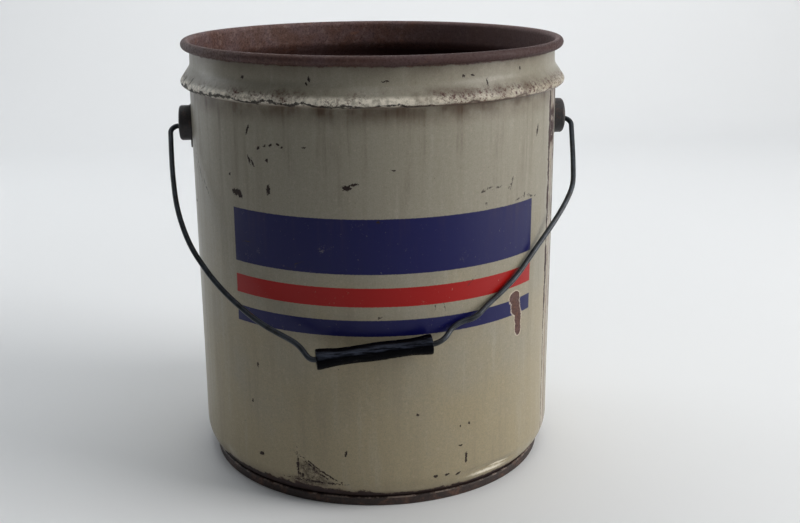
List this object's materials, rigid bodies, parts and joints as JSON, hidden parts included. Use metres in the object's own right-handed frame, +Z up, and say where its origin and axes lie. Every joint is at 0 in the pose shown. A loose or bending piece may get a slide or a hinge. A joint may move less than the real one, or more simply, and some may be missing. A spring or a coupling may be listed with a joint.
{
  "type": "steel pail",
  "caption": "Open-head steel pail with a rolled curl, a swaged bead, a double-seamed base and a swinging wire bail with a turning grip.",
  "frame": {"origin": "centre of the base on the floor, on the pail's own axis", "axes": "+Z up along the pail's axis, X along the hinge line through both ears, -Y to the front where the bail hangs at rest"},
  "size_m": [0.324, 0.3133, 0.336],
  "materials": {
    "stone_paint": "semi-gloss stone paint, scuffed, rust on the curl and inside",
    "rusted_seam": "dark rusted steel",
    "sealing_compound": "matt rubbery compound",
    "ear_steel": "oxidised dark steel with brown rust",
    "bail_steel": "dull drawn wire, darkened by age",
    "black_plastic": "worn black moulded plastic with a dull shine"
  },
  "bodies": {
    "pail": {"body_shell": "stone_paint", "bottom_end": "rusted_seam", "seam_compound": "sealing_compound", "left_ear": "ear_steel", "right_ear": "ear_steel"},
    "bail": {"bail_wire": "bail_steel"},
    "grip": {"bail_grip": "black_plastic"}
  },
  "joints": [
    {"name": "bail_swing", "type": "hinge", "parent": "pail", "child": "bail", "pos_m": [0, 0, 0.268], "axis": [-1, 0, 0], "range_deg": [0, 264]},
    {"name": "grip_spin", "type": "hinge", "parent": "bail", "child": "grip", "pos_m": [-0.012, -0.15268, 0.13053], "axis": [0.9945, 0.0778, 0.0701], "continuous": true}
  ]
}
